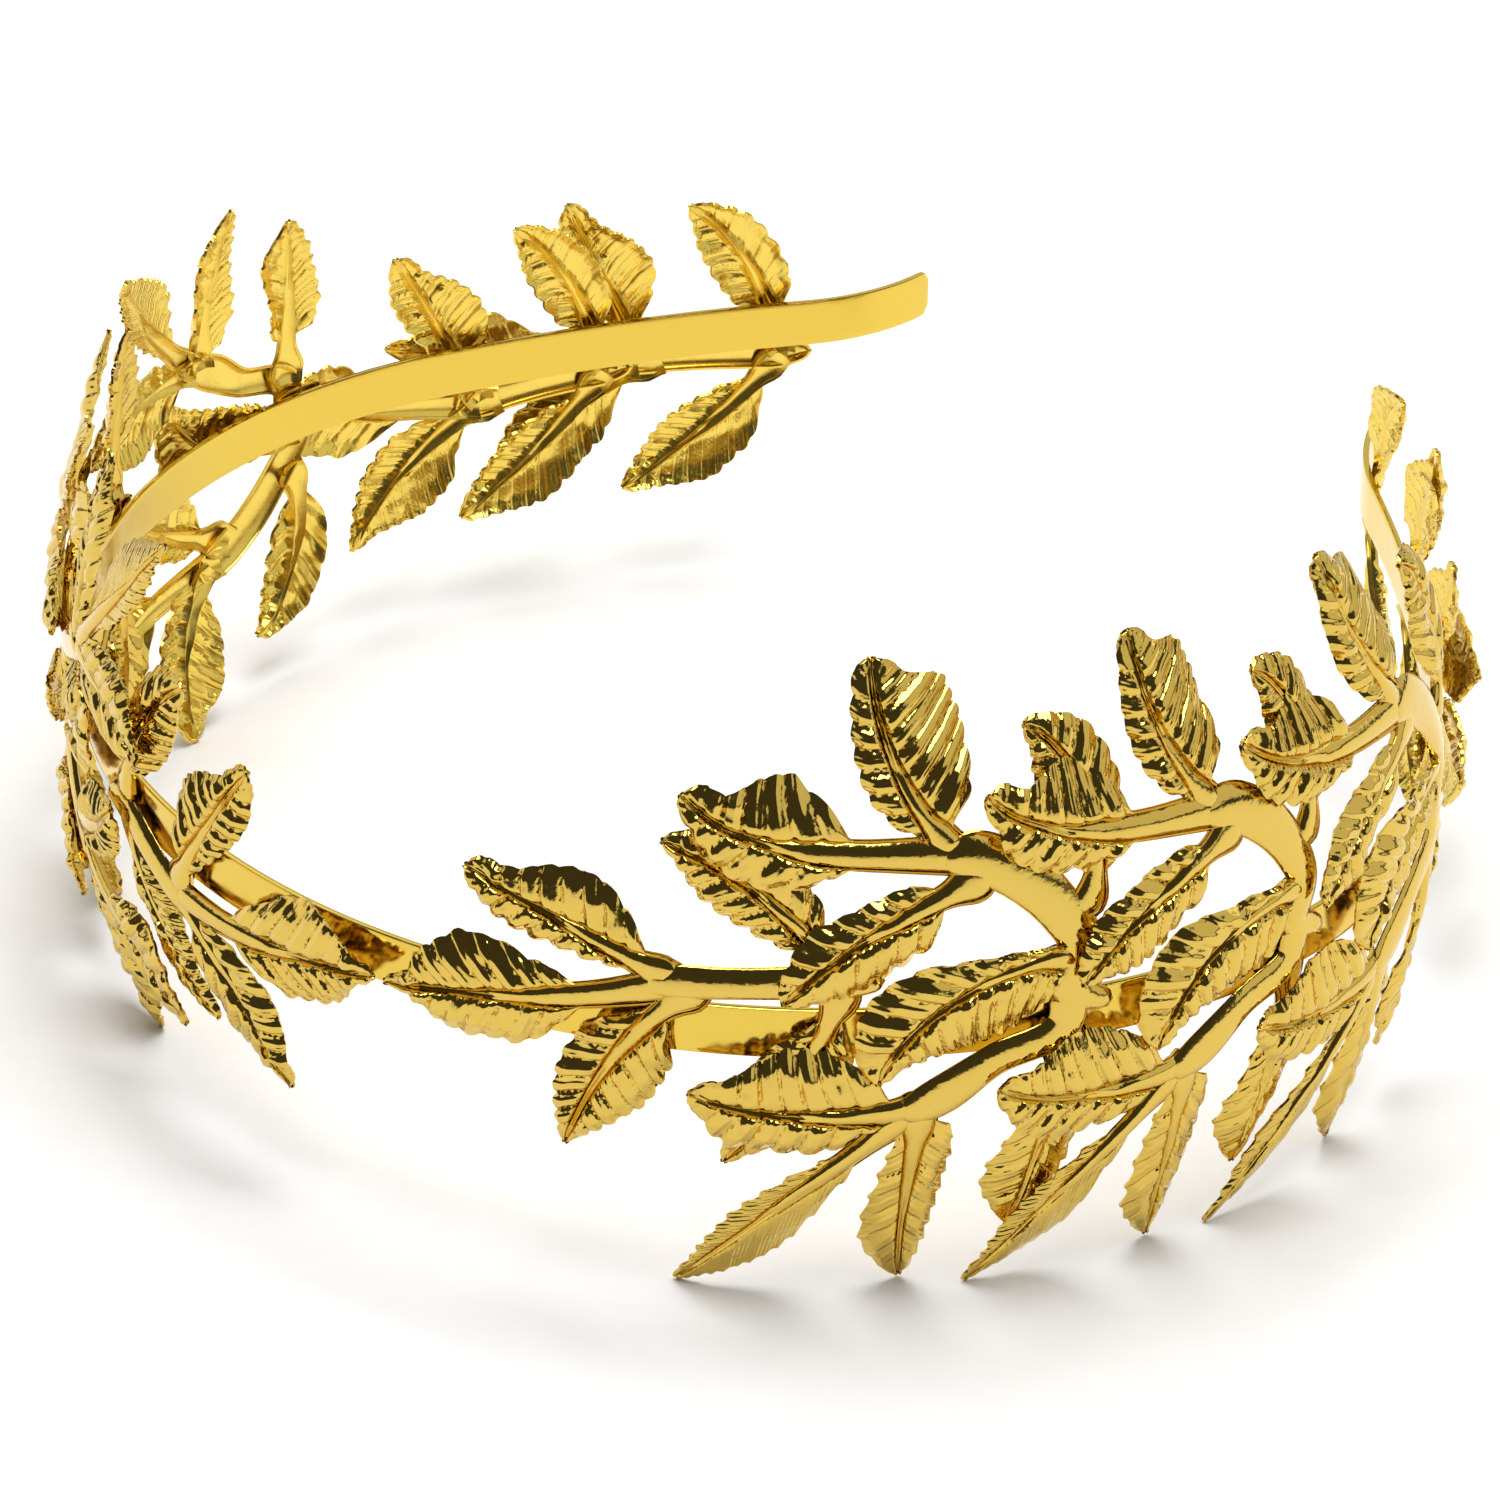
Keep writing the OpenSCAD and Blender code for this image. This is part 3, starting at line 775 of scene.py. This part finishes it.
# Fork; way back from it; angle; length; stalk; width; leans; curl; lean; thickness; die.
SMALL_LEAVES = (
    (0, 0, 50, 0.77, 0.16, 0.8, 20, -22, 0.4, 0, 1, Press.SIDE),
    (0, 0, -50, 0.81, 0.16, 0.8, -12, 8, 0.4, 0, 1, Press.DROP),
    (1, 0, 50, 0.77, 0.13, 0.82, 4, -2, 0.6, 1, 1.1, Press.WING),
    (1, 0.16, -50, 0.77, 0.2, 0.85, 22, -16, 0.6, 0, 1.15, Press.DROP),
    (1, 0, 0, 1, 0.34, 1, -7, 6, 1, 0, 1.4, Press.END),
)
# Shares of the way to the second fork, of the tail, of the fork's height, and of the width.
SMALL_STEM = (
    (0, 1, 0, 0.45), (0, 0, 0, 1), (0.25, 0, 0.17, 1), (0.5, 0, 0.44, 0.94),
    (0.75, 0, 0.73, 0.94), (1, 0, 1, 1), (1.2, 0, 1.1, 0.8),
)
SMALL_KEEL = -0.35
SPRIGS = (
    Sprig("sprig_right_1", RIGHT, False, 0.225, 1.17, -12, 1, (1, -0.04), -15),
    Sprig("sprig_right_2", RIGHT, True, 0.351),
    Sprig("sprig_right_3", RIGHT, True, 0.477, reach=0.92),
    Sprig("sprig_right_4", RIGHT, True, 0.617, reach=0.95),
    Sprig("sprig_right_5", RIGHT, False, 0.855, -0.67, 10, 0.95, (0.97, -0.11), 2,
          emboss=0.75, far=True),
    Sprig("sprig_right_6", RIGHT, False, 0.954, -0.75, 11, 1, (1.03, 0.03), 6,
          emboss=0.75, far=True),
    Sprig("sprig_left_1", LEFT, False, 0.201, -0.17, 8, 1, (0.74, -0.23), 0),
    Sprig("sprig_left_2", LEFT, True, 0.346, 0.7, reach=0.97, rise=-0.9, sway=0.14),
    Sprig("sprig_left_3", LEFT, True, 0.48, 0.7, rise=-0.9, sway=0.14),
    Sprig("sprig_left_4", LEFT, True, 0.636, 0.7, reach=0.97, rise=-0.9, sway=0.1, far=True),
    Sprig("sprig_left_5", LEFT, False, 0.808, -0.67, 10, 0.95, (0.97, -0.11), 2,
          emboss=0.7, far=True),
    Sprig("sprig_left_6", LEFT, False, 0.909, -0.75, 11, 1, (1.03, 0.03), 6,
          emboss=0.7, far=True),
)


@dataclass(frozen=True)
class GoldFinish:
    """Bright gold plate over pressed metal, with painted shade in its grooves.

    Attributes:
        name: Name of the material.
        bright: Colour of the plate away from the grooves.
        deep: Darker, warmer colour painted into the grooves as painted shade.
        smooth: Least roughness.
        hazy: Most roughness.
        ribs: Depth of the fine ribs along the side veins, in millimetres.
        ripples: Depth of the soft ripples in the plate.
        pebbles: Depth of the small dents of the pressing.
        brushed: Depth of the fine lines along the strip.
    """

    # Scale and detail of the noises.
    MOTTLE = (260, 3)
    HAZE = (420, 4)
    RIPPLE = (520, 2)
    PEBBLE = (950, 3)
    BRUSH = (1, 3)
    # The range of a noise that is used, that of the grooves, and the least painted shade in a
    # groove.
    PATCHES = (0.35, 0.7)
    GROOVES = (0.55, 1.0)
    LEAST_GROOVE_SHADE = 0.25
    RIBS_A_VEIN = 3
    BRUSH_LINES = (60, 2600, 1)

    name: str
    bright: Triple
    deep: Triple
    smooth: float
    hazy: float
    ribs: float = 0.0
    ripples: float = 0.012
    pebbles: float = 0.0
    brushed: float = 0.0

    def material(self) -> bpy.types.Material:
        """Builds the material's nodes."""
        material = bpy.data.materials.new(self.name)
        material.use_nodes = True
        tree = material.node_tree
        nodes, link = tree.nodes, tree.links.new
        nodes.clear()

        def add(kind: str, inputs: dict | None = None, **settings: object) -> bpy.types.Node:
            """Adds a node and sets its properties and its inputs."""
            node = nodes.new(kind)
            for key, value in settings.items():
                setattr(node, key, value)
            for key, value in (inputs or {}).items():
                node.inputs[key].default_value = value
            return node

        def noise(scale: float, detail: float, at: Socket | None = None) -> Socket:
            """Adds a noise on the object's own coordinates, or on those given."""
            texture = add("ShaderNodeTexNoise", {"Scale": scale, "Detail": detail})
            link(at or place.outputs["Object"], texture.inputs["Vector"])
            return texture.outputs["Fac"]

        def spread(value: Socket, source: Pair, target: Pair) -> Socket:
            """Maps a range of a value to another."""
            ends = zip(("From Min", "From Max", "To Min", "To Max"), source + target)
            node = add("ShaderNodeMapRange", dict(ends))
            link(value, node.inputs["Value"])
            return node.outputs["Result"]

        def times(first: Socket, second: Socket) -> Socket:
            """Multiplies two values."""
            node = add("ShaderNodeMath", operation="MULTIPLY")
            link(first, node.inputs[0])
            link(second, node.inputs[1])
            return node.outputs[0]

        def bump(height: Socket, depth: float, below: Socket | None) -> Socket:
            """Adds a bump of a depth in millimetres over the one below."""
            node = add("ShaderNodeBump", {"Strength": 1.0, "Distance": depth * MM})
            link(height, node.inputs["Height"])
            if below is not None:
                link(below, node.inputs["Normal"])
            return node.outputs["Normal"]

        place = add("ShaderNodeTexCoord")
        out = add("ShaderNodeOutputMaterial")
        shader = add("ShaderNodeBsdfPrincipled", {"Metallic": 1.0})
        link(shader.outputs["BSDF"], out.inputs["Surface"])

        colours = {"A": (*self.bright, 1), "B": (*self.deep, 1)}
        tone = add("ShaderNodeMix", colours, data_type="RGBA")
        groove = add("ShaderNodeAttribute", attribute_name="groove")
        # Painted shade: the deep colour is mixed into the grooves by their depth, in random patches.
        painted_groove_shade = times(
            spread(groove.outputs["Fac"], self.GROOVES, (0, 1)),
            spread(noise(*self.MOTTLE), self.PATCHES, (self.LEAST_GROOVE_SHADE, 1)),
        )
        link(painted_groove_shade, tone.inputs["Factor"])
        link(tone.outputs["Result"], shader.inputs["Base Color"])
        haze = spread(noise(*self.HAZE), self.PATCHES, (self.smooth, self.hazy))
        link(haze, shader.inputs["Roughness"])

        normal = bump(noise(*self.RIPPLE), self.ripples, None)
        if self.pebbles:
            normal = bump(noise(*self.PEBBLE), self.pebbles, normal)
        if self.ribs:
            vein = add("ShaderNodeAttribute", attribute_name="vein")
            blade = add("ShaderNodeAttribute", attribute_name="blade")
            turn = add("ShaderNodeMath", {1: 2 * math.pi * self.RIBS_A_VEIN}, operation="MULTIPLY")
            link(vein.outputs["Fac"], turn.inputs[0])
            wave = add("ShaderNodeMath", operation="SINE")
            link(turn.outputs[0], wave.inputs[0])
            height = times(spread(wave.outputs[0], (-1, 1), (0, 1)), blade.outputs["Fac"])
            normal = bump(height, self.ribs, normal)
        if self.brushed:
            stretch = add("ShaderNodeMapping", {"Scale": self.BRUSH_LINES})
            link(place.outputs["UV"], stretch.inputs["Vector"])
            normal = bump(noise(*self.BRUSH, stretch.outputs["Vector"]), self.brushed, normal)
        link(normal, shader.inputs["Normal"])
        return material


STRIP_GOLD = GoldFinish(
    "polished_strip_gold", (0.77, 0.54, 0.085), (0.6, 0.36, 0.05), smooth=0.1, hazy=0.2,
    ripples=0.002, brushed=0.003,
)
NEAR_GOLD = GoldFinish(
    "pressed_leaf_gold", (0.72, 0.5, 0.1), (0.57, 0.33, 0.045), smooth=0.06, hazy=0.14,
    ribs=0.05, ripples=0.03, pebbles=0.045,
)
# Painted light: the far sprigs get a brighter copy of the leaf gold, as well as more haze.
FAR_GOLD = GoldFinish(
    "hazy_painted_bright_leaf_gold", (0.87, 0.64, 0.12), (0.72, 0.48, 0.07), smooth=0.2, hazy=0.3,
    ribs=0.04, pebbles=0.02,
)


class SprigMaker:
    """Presses the sprigs and dresses them."""

    def __init__(self, form: CrownForm, sizes: SprigSizes) -> None:
        """Makes the flat blanks and the finishes, for the ground that the sprigs lie on."""
        self.form = form
        self.sizes = sizes
        self.gold = {False: NEAR_GOLD.material(), True: FAR_GOLD.material()}
        self.leaf_blanks = {
            True: Mesher.blank("large_leaf_blank", CELLS, sizes.large_rows),
            False: Mesher.blank("small_leaf_blank", CELLS, sizes.small_rows),
        }
        self.stem_blank = Mesher.blank("stem_blank", *sizes.stem_cells)

    def slope(self, sprig: Sprig) -> float:
        """Rise per millimetre that carries a sprig over the stem of the one in front."""
        s, length = self.sizes, self.form.plan(sprig.arm).length
        ahead = [one.place for one in SPRIGS if one.arm is sprig.arm and one.place < sprig.place]
        step = sprig.place * length - max(ahead, default=0) * length
        return (max(s.stem_rise, s.sheet + s.rib_rise) + s.lap_gap) / step

    def leaves(self, sprig: Sprig) -> list[Leaf]:
        """Lists the leaves of a sprig in millimetres."""
        s = self.sizes
        seed = 100 * SPRIGS.index(sprig)
        found = []
        if sprig.large:
            long, high = s.large_length, s.large_height
            for i, row in enumerate(LARGE_LEAVES):
                u0, v0, u1, v1, stalk, width, *leans, curl, thick, press = row
                if sprig.rise < 0 and press is Press.CREST:
                    press = Press.SIDE
                found.append(Leaf(
                    (u0 * long, v0 * high), (u1 * long, v1 * high), stalk * long,
                    width * s.large_leaf_width, tuple(leans), curl * s.tip_curl, press,
                    thick * s.stalk_width, seed + i, sprig.emboss,
                ))
            return found
        for i, row in enumerate(SMALL_LEAVES):
            fork, back, angle, length, stalk, width, *leans, curl, lean, thick, press = row
            u0, v0 = (fork * s.small_fork_step * share for share in sprig.fork)
            turned = math.radians(angle + sprig.tilt + lean * sprig.lean)
            reach = length * s.small_leaf_length
            found.append(Leaf(
                (u0 * (1 - back), v0 * (1 - back)),
                (u0 + reach * math.cos(turned), v0 + reach * math.sin(turned)),
                stalk * s.small_leaf_length, width * s.small_leaf_width, tuple(leans),
                curl * s.tip_curl, press, thick * s.stalk_width, seed + i, sprig.emboss,
            ))
        return found

    def stems(self, sprig: Sprig) -> list[Stem]:
        """Lists the stems of a sprig in millimetres."""
        s = self.sizes
        crest = s.stem_rise + s.stem_crest
        if sprig.large:
            scale = (s.large_length, s.large_height, s.large_stem_width)
            return [
                Stem(tuple(tuple(a * b for a, b in zip(knot, scale)) for knot in row), crest, keel)
                for row, keel in zip(LARGE_STEMS, LARGE_KEELS)
            ]
        u_fork, v_fork = (share * s.small_fork_step for share in sprig.fork)
        return [Stem(tuple(
            (way * u_fork - tail * s.small_tail, up * v_fork, width * s.small_stem_width)
            for way, tail, up, width in SMALL_STEM
        ), crest, SMALL_KEEL)]

    def build(self, sprig: Sprig) -> Thing:
        """Presses every leaf and stem of a sprig and joins them to one piece."""
        slope = self.slope(sprig)
        start = sprig.place * self.form.plan(sprig.arm).length
        middle = self.form.middle()

        def shape(part: Leaf | Stem, across: Array, along: Array) -> Laid:
            """Presses a part and lays it on the crown."""
            u, v, lift, vein, blade, groove = part.pressed(across, along)
            up = v * sprig.rise
            points = self.form.place(
                sprig.arm,
                np.abs(start - u * sprig.reach + up * sprig.sway),
                sprig.height * self.form.band_height + up,
                lift + slope * np.maximum(0, u),
            )
            points[:, 2] = np.maximum(points[:, 2], self.sizes.wall * MM)
            return points, {"vein": vein, "blade": blade, "groove": groove}

        def outward(points: Array) -> Array:
            """Points away from the middle of the ring."""
            away = points - middle
            away[:, 2] = 0
            return away

        parts = [
            Mesher.press(self.leaf_blanks[sprig.large], partial(shape, leaf), outward, f"leaf_{i}")
            for i, leaf in enumerate(self.leaves(sprig))
        ] + [
            Mesher.press(self.stem_blank, partial(shape, stem), outward, f"stem_{i}")
            for i, stem in enumerate(self.stems(sprig))
        ]
        piece = Mesher.join(f"pressed_{sprig.name}", parts)
        Mesher.modify(piece, "SOLIDIFY", thickness=self.sizes.wall * MM, offset=-1)
        Mesher.smooth(piece)
        return piece

    def dress(self, piece: Thing, sprig: Sprig) -> None:
        """Gives a sprig its finish and its place in the model."""
        piece.data.materials.clear()
        piece.data.materials.append(self.gold[sprig.far])
        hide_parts(sprig.name)
        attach(piece, "root")

    def clear(self) -> None:
        """Removes the flat blanks."""
        for blank in (*self.leaf_blanks.values(), self.stem_blank):
            bpy.data.objects.remove(blank)


@dataclass
class Band:
    """The polished strip.

    Attributes:
        form: The crown's sizes and plans.
        finish: Finish of the strip.
        edge: Width of the rounding along its edges.
        cells: Cells of its blank across and along.
        crowding: How far the cells crowd to its ends.
        sharp: Least angle of an edge that is rounded, in degrees.
    """

    form: CrownForm
    finish: GoldFinish
    edge: float = 0.14
    cells: tuple[int, int] = (8, 520)
    crowding: float = 0.006
    sharp: float = 50

    def build(self) -> Thing:
        """Bends a flat blank along both arms, rounds its ends and gives it its thickness."""
        form = self.form
        blank = Mesher.blank("strip_blank", *self.cells)
        total = form.left.length + form.right.length

        def shape(across: Array, along: Array) -> Laid:
            """Bends the blank along the ring."""
            eased = along - self.crowding * np.sin(2 * math.pi * along)
            run = eased * total - form.left.length
            from_end = np.minimum(eased * total, total - eased * total)
            r = form.end_corner
            cut = r - np.sqrt(np.clip(r**2 - np.maximum(r - from_end, 0) ** 2, 0, None))
            z = across * (form.band_height / 2 - cut)
            flush = np.full_like(z, -form.seat_gap)
            points = np.where(
                (run < 0)[:, None],
                form.place(LEFT, np.abs(run), z, flush),
                form.place(RIGHT, np.abs(run), z, flush),
            )
            points[:, 2] = (z + form.shift()[2]) * MM
            nothing = np.zeros_like(z)
            return points, {"vein": nothing, "blade": nothing, "groove": nothing}

        middle = form.middle()
        strip = Mesher.press(blank, shape, lambda points: points - middle, "polished_band")
        bpy.data.objects.remove(blank)
        Mesher.modify(strip, "SOLIDIFY", thickness=form.band_thickness * MM, offset=-1)
        Mesher.modify(
            strip, "BEVEL", width=self.edge * MM, segments=2, limit_method="ANGLE",
            angle_limit=math.radians(self.sharp),
        )
        Mesher.smooth(strip)
        return strip

    def dress(self, strip: Thing) -> None:
        """Gives the strip its finish and its place in the model."""
        strip.data.materials.clear()
        strip.data.materials.append(self.finish.material())
        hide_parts("band")
        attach(strip, "root")


@dataclass(frozen=True)
class Softbox:
    """One soft light: its name, place, aim, sides in metres and power in watts."""

    name: str
    place: Triple
    aim: Triple
    sides: Pair
    power: float

    def add(self) -> None:
        """Hangs the light and turns it to its aim."""
        bpy.ops.object.light_add(type="AREA", location=self.place)
        lamp = bpy.context.active_object
        lamp.name = lamp.data.name = self.name
        lamp.data.shape = "RECTANGLE"
        lamp.data.size, lamp.data.size_y = self.sides
        lamp.data.energy = self.power
        ahead = Vector(self.aim) - Vector(self.place)
        lamp.rotation_euler = ahead.to_track_quat("-Z", "Y").to_euler()


@dataclass
class Studio:
    """The pale floor, the soft lights and the camera.

    Attributes:
        azimuth: Camera's turn about the crown in degrees, 0 looking along +Y.
        elevation: Camera's height above the horizon in degrees.
        roll: Camera's roll in degrees.
        distance: Camera's distance from its target in metres.
        target: What the camera looks at.
        lens: Focal length in millimetres on a 36 mm sensor.
        lights: The soft lights.
    """

    azimuth: float = 30.8
    elevation: float = 31.1
    roll: float = 1.5
    distance: float = 0.75
    target: Triple = (0.009068, -0.023486, 0.033398)
    lens: float = 160.58
    lights: tuple[Softbox, ...] = (
        Softbox("overhead_softbox", (0.0, 0.1, 1.9), (0, 0, 0), (1.5, 1.5), 42),
        Softbox("right_softbox", (1.25, 0.45, 0.75), (0, 0.1, 0.1), (1.8, 1.3), 5.2),
        Softbox("left_softbox", (-1.25, 0.35, 0.75), (0, 0.1, 0.1), (1.8, 1.3), 6.4),
        Softbox("back_softbox", (0.0, 1.5, 0.75), (0, 0, 0.1), (2.4, 1.3), 6.5),
    )

    def floor(self) -> None:
        """Lays a plain pale floor."""
        bpy.ops.mesh.primitive_plane_add(size=9.0)
        floor = bpy.context.active_object
        floor.name = "studio_floor"
        paper = bpy.data.materials.new("pale_paper")
        paper.use_nodes = True
        nodes, link = paper.node_tree.nodes, paper.node_tree.links.new
        shader = nodes["Principled BSDF"]
        shader.inputs["Roughness"].default_value = 0.7
        place = nodes.new("ShaderNodeTexCoord")
        grain = nodes.new("ShaderNodeTexNoise")
        grain.inputs["Scale"].default_value = 300
        ramp = nodes.new("ShaderNodeMapRange")
        ramp.inputs["To Min"].default_value = 0.9
        ramp.inputs["To Max"].default_value = 0.93
        link(place.outputs["Object"], grain.inputs["Vector"])
        link(grain.outputs["Fac"], ramp.inputs["Value"])
        link(ramp.outputs["Result"], shader.inputs["Base Color"])
        floor.data.materials.append(paper)

    def light(self) -> None:
        """Hangs the lights and dims the room round them."""
        for softbox in self.lights:
            softbox.add()
        world = bpy.data.worlds.new("dim_room")
        bpy.context.scene.world = world
        world.use_nodes = True
        room = world.node_tree.nodes["Background"]
        room.inputs["Color"].default_value = (0.055, 0.052, 0.046, 1)
        room.inputs["Strength"].default_value = 1.0
        bpy.context.scene.view_settings.view_transform = "Standard"

    def camera(self) -> None:
        """Sets up the camera at the photograph's viewing angle."""
        a, e, r = (math.radians(angle) for angle in (self.azimuth, self.elevation, self.roll))
        back = Vector((math.sin(a) * math.cos(e), -math.cos(a) * math.cos(e), math.sin(e)))
        right = Vector((math.cos(a), math.sin(a), 0))
        up = back.cross(right)
        right, up = right * math.cos(r) + up * math.sin(r), up * math.cos(r) - right * math.sin(r)
        lens = bpy.data.cameras.new("photo_camera")
        lens.lens = self.lens
        lens.sensor_width = 36
        lens.clip_start = 0.05
        camera = bpy.data.objects.new("photo_camera", lens)
        bpy.context.collection.objects.link(camera)
        turned = Matrix((right, up, back)).transposed().to_4x4()
        stand = Vector(self.target) + back * self.distance
        camera.matrix_world = Matrix.Translation(stand) @ turned
        bpy.context.scene.camera = camera

    def build(self) -> None:
        """Sets up the floor, the lights and the camera."""
        self.floor()
        self.light()
        self.camera()


def main() -> None:
    """Builds the crown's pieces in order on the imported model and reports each."""
    logging.basicConfig(level=logging.INFO, format="%(name)s: %(message)s")
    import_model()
    Studio().build()
    form = CrownForm()
    band = Band(form, STRIP_GOLD)
    strip = band.build()
    band.dress(strip)
    LOG.info("%s: %d faces", strip.name, len(strip.data.polygons))
    maker = SprigMaker(form, SprigSizes())
    for sprig in SPRIGS:
        piece = maker.build(sprig)
        maker.dress(piece, sprig)
        LOG.info("%s: %d faces", piece.name, len(piece.data.polygons))
    maker.clear()


if __name__ == "__main__":
    main()
